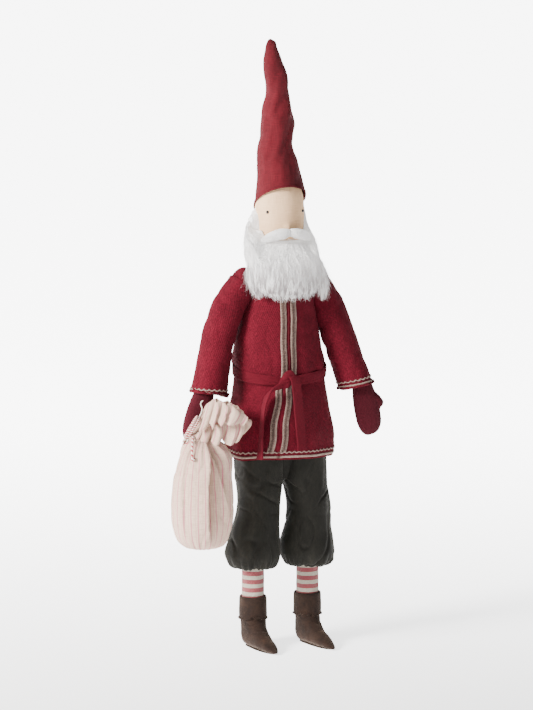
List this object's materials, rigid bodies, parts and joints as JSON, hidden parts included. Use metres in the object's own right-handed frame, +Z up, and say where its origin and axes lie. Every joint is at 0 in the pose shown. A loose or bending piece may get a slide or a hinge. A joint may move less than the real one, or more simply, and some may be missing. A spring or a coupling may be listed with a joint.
{
  "type": "tomte doll",
  "caption": "Tall stuffed cloth tomte doll with a pointed hat, wool beard, belted coat, breeches and boots, holding a tied sack; arms, legs, hat and sack move.",
  "frame": {"origin": "centre of the footprint box of the whole object, on the floor under the soles", "axes": "+Z up along the doll, -Y the way it faces, +X to its left hand"},
  "size_m": [0.3256, 0.1516, 0.86],
  "materials": {
    "linen": "matte",
    "wadding": "matte",
    "bead": "satin",
    "wool": "matte",
    "coat_felt": "matte",
    "braid": "matte",
    "belt_felt": "matte",
    "elastic": "matte",
    "velvet": "matte",
    "mitten_felt": "matte",
    "sack_cloth": "matte",
    "cord": "matte",
    "stocking": "matte",
    "suede": "matte",
    "hat_linen": "matte"
  },
  "bodies": {
    "torso": {"head_casing": "linen", "head_filling": "wadding", "eyes": "bead", "torso_casing": "linen", "torso_filling": "wadding", "beard": "wool", "beard_side_left": "wool", "beard_side_right": "wool", "moustache": "wool", "coat_body": "coat_felt", "coat_neckband": "coat_felt", "coat_skirt": "coat_felt", "front_tape_left": "braid", "front_tape_right": "braid", "skirt_tape_left": "braid", "skirt_tape_right": "braid", "hem_scallop": "braid", "hem_braid": "braid", "belt_band": "belt_felt", "belt_knot": "belt_felt", "belt_tail_left": "belt_felt", "belt_tail_right": "belt_felt", "breeches_seat": "velvet", "waist_elastic": "elastic", "hip_tabs": "linen"},
    "hat": {"hat_shell": "hat_linen", "hat_filling": "wadding"},
    "shoulder_left": {"shoulder_tab_left": "linen"},
    "shoulder_right": {"shoulder_tab_right": "linen"},
    "arm_left": {"arm_casing_left": "linen", "arm_filling_left": "wadding", "sleeve_left": "coat_felt", "cuff_scallop_left": "braid", "cuff_braid_left": "braid", "mitten_left": "mitten_felt"},
    "arm_right": {"arm_casing_right": "linen", "arm_filling_right": "wadding", "sleeve_right": "coat_felt", "cuff_scallop_right": "braid", "cuff_braid_right": "braid", "mitten_right": "mitten_felt", "sack_ruffle": "sack_cloth"},
    "sack": {"sack_bag": "sack_cloth", "sack_filling": "wadding", "sack_tie": "cord", "cord_tail": "cord", "cord_knot": "cord"},
    "leg_left": {"stocking_left": "stocking", "leg_filling_left": "wadding", "breeches_leg_left": "velvet", "boot_left": "suede", "boot_sole_left": "suede", "boot_cuff_left": "suede"},
    "leg_right": {"stocking_right": "stocking", "leg_filling_right": "wadding", "breeches_leg_right": "velvet", "boot_right": "suede", "boot_sole_right": "suede", "boot_cuff_right": "suede"}
  },
  "joints": [
    {"name": "hat_lift", "type": "slide", "parent": "torso", "child": "hat", "axis": [0, 0, 1], "range_m": [0, 0.08]},
    {"name": "shoulder_swing_left", "type": "hinge", "parent": "torso", "child": "shoulder_left", "pos_m": [0.072, 0.0185, 0.518], "axis": [-1, 0, 0], "range_deg": [-20, 90], "deforming": ["beard_side_left"]},
    {"name": "shoulder_spread_left", "type": "hinge", "parent": "shoulder_left", "child": "arm_left", "pos_m": [0.072, 0.0185, 0.518], "axis": [0, -1, 0], "range_deg": [0, 50]},
    {"name": "shoulder_swing_right", "type": "hinge", "parent": "torso", "child": "shoulder_right", "pos_m": [-0.042, 0.0185, 0.518], "axis": [-1, 0, 0], "range_deg": [-20, 90], "deforming": ["beard_side_right"]},
    {"name": "shoulder_spread_right", "type": "hinge", "parent": "shoulder_right", "child": "arm_right", "pos_m": [-0.042, 0.0185, 0.518], "axis": [0, 1, 0], "range_deg": [0, 50]},
    {"name": "sack_swing", "type": "hinge", "parent": "arm_right", "child": "sack", "pos_m": [-0.122, -0.0245, 0.316], "axis": [-1, 0, 0], "range_deg": [-15, 40], "deforming": ["sack_ruffle"]},
    {"name": "hip_swing_left", "type": "hinge", "parent": "torso", "child": "leg_left", "pos_m": [0.056, 0.0145, 0.262], "axis": [-1, 0, 0], "range_deg": [-15, 90], "deforming": ["coat_skirt", "skirt_tape_left", "skirt_tape_right", "hem_scallop", "hem_braid", "belt_tail_left", "belt_tail_right", "breeches_seat"]},
    {"name": "hip_swing_right", "type": "hinge", "parent": "torso", "child": "leg_right", "pos_m": [-0.026, 0.0145, 0.262], "axis": [-1, 0, 0], "range_deg": [-15, 90]}
  ]
}
